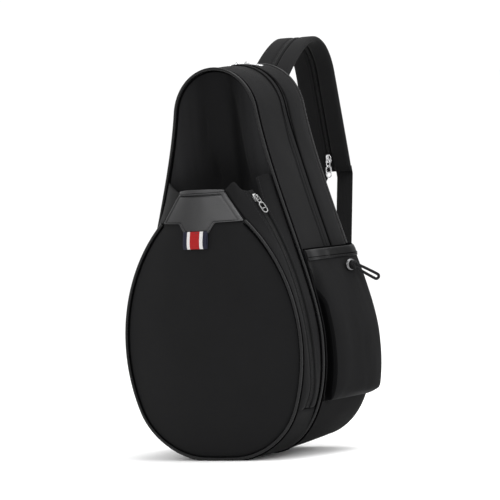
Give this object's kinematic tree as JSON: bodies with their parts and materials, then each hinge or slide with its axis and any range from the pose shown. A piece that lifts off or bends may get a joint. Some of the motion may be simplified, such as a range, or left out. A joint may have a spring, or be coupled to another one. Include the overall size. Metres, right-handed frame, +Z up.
{
  "type": "racket backpack",
  "caption": "Teardrop racket backpack with a zipped main compartment, an open-topped front pocket, bottle pockets and one wide strap of two zipped halves.",
  "frame": {"origin": "bottom centre of the bag's bounding box without its two elastic cord loops, level with the front pocket's base", "axes": "+Z up, the front pocket faces -Y, +X is the viewer's right seen from the front"},
  "size_m": [0.334, 0.3199, 0.5155],
  "materials": {
    "cloth": "black woven nylon twill",
    "leather": "smooth grained black leather",
    "piping": "satin black covered piping",
    "tape": "black zip tape and coil",
    "metal": "polished nickel",
    "webbing": "black ribbed webbing",
    "ribbon": "striped grosgrain ribbon",
    "cord": "braided elastic cord",
    "plastic": "moulded acetal",
    "board": "plain sheet"
  },
  "bodies": {
    "bag": {"gusset_front": "cloth", "gusset_rear": "cloth", "gusset_base": "cloth", "zip_flap": "cloth", "front_panel": "cloth", "back_panel": "cloth", "back_stiffener": "board", "base_board": "board", "main_zip_tape_front": "tape", "main_zip_tape_rear": "tape", "main_zip_coil": "tape", "body_front_piping": "piping", "body_rear_piping": "piping", "pocket_front_panel": "cloth", "pocket_gusset_base": "cloth", "pocket_gusset_left": "cloth", "pocket_gusset_front": "cloth", "pocket_gusset_rear": "cloth", "pocket_zip_tape": "tape", "pocket_zip_coil": "tape", "pocket_piping": "piping", "leather_patch": "leather", "mouth_binding": "leather", "ribbon_loop": "ribbon", "side_pocket_right": "cloth", "side_pocket_left": "cloth", "side_binding_right": "leather", "side_binding_left": "leather", "eyelet_right": "metal", "eyelet_left": "metal", "cord_knot_right": "cord", "cord_knot_left": "cord", "cord_right": "cord", "cord_left": "cord", "strap_root": "cloth", "strap_pad_right": "cloth", "strap_pad_left": "cloth", "strap_zip_tape": "tape", "webbing_right": "webbing", "webbing_left": "webbing", "anchor_tab_right": "webbing", "anchor_tab_left": "webbing"},
    "main_slider_right": {"main_zip_right_slider": "metal"},
    "main_pull_right": {"main_zip_right_pull": "metal"},
    "main_slider_left": {"main_zip_left_slider": "metal"},
    "main_pull_left": {"main_zip_left_pull": "metal"},
    "pocket_slider": {"pocket_zip_slider": "metal"},
    "pocket_pull": {"pocket_zip_pull": "metal"},
    "strap_slider": {"strap_zip_slider": "metal"},
    "strap_pull": {"strap_zip_pull": "metal"},
    "lock_right": {"adjuster_right": "plastic"},
    "lock_left": {"adjuster_left": "plastic"}
  },
  "joints": [
    {"name": "main_zip_right", "type": "hinge", "parent": "bag", "child": "main_slider_right", "pos_m": [0, -0.03, 0.4208], "axis": [0, 1, 0], "range_deg": [0, 64]},
    {"name": "main_pull_right", "type": "hinge", "parent": "main_slider_right", "child": "main_pull_right", "pos_m": [0.0072, -0.03, 0.48711], "axis": [0, -1, 0], "range_deg": [0, 120]},
    {"name": "main_zip_left", "type": "hinge", "parent": "bag", "child": "main_slider_left", "pos_m": [0, -0.03, 0.4208], "axis": [0, 1, 0], "range_deg": [-64, 0]},
    {"name": "main_pull_left", "type": "hinge", "parent": "main_slider_left", "child": "main_pull_left", "pos_m": [-0.0072, -0.03, 0.48711], "axis": [0, 1, 0], "range_deg": [0, 120]},
    {"name": "pocket_zip", "type": "hinge", "parent": "bag", "child": "pocket_slider", "pos_m": [-0.2282, -0.1171, 0.1145], "axis": [0, 1, 0], "range_deg": [0, 35]},
    {"name": "pocket_pull", "type": "hinge", "parent": "pocket_slider", "child": "pocket_pull", "pos_m": [0.06889, -0.1184, 0.32407], "axis": [-0.2795, -0.9397, -0.1972], "range_deg": [0, 120]},
    {"name": "strap_zip", "type": "slide", "parent": "bag", "child": "strap_slider", "axis": [0, -0.1824, 0.9832], "range_m": [0, 0.085]},
    {"name": "strap_pull", "type": "hinge", "parent": "strap_slider", "child": "strap_pull", "pos_m": [0, 0.14731, 0.35548], "axis": [-1, 0, 0], "range_deg": [-6, 130]},
    {"name": "lock_right", "type": "slide", "parent": "bag", "child": "lock_right", "axis": [-0.2228, 0.4776, 0.8499], "range_m": [-0.05, 0.13]},
    {"name": "lock_left", "type": "slide", "parent": "bag", "child": "lock_left", "axis": [0.2228, 0.4776, 0.8499], "range_m": [-0.05, 0.13]}
  ]
}
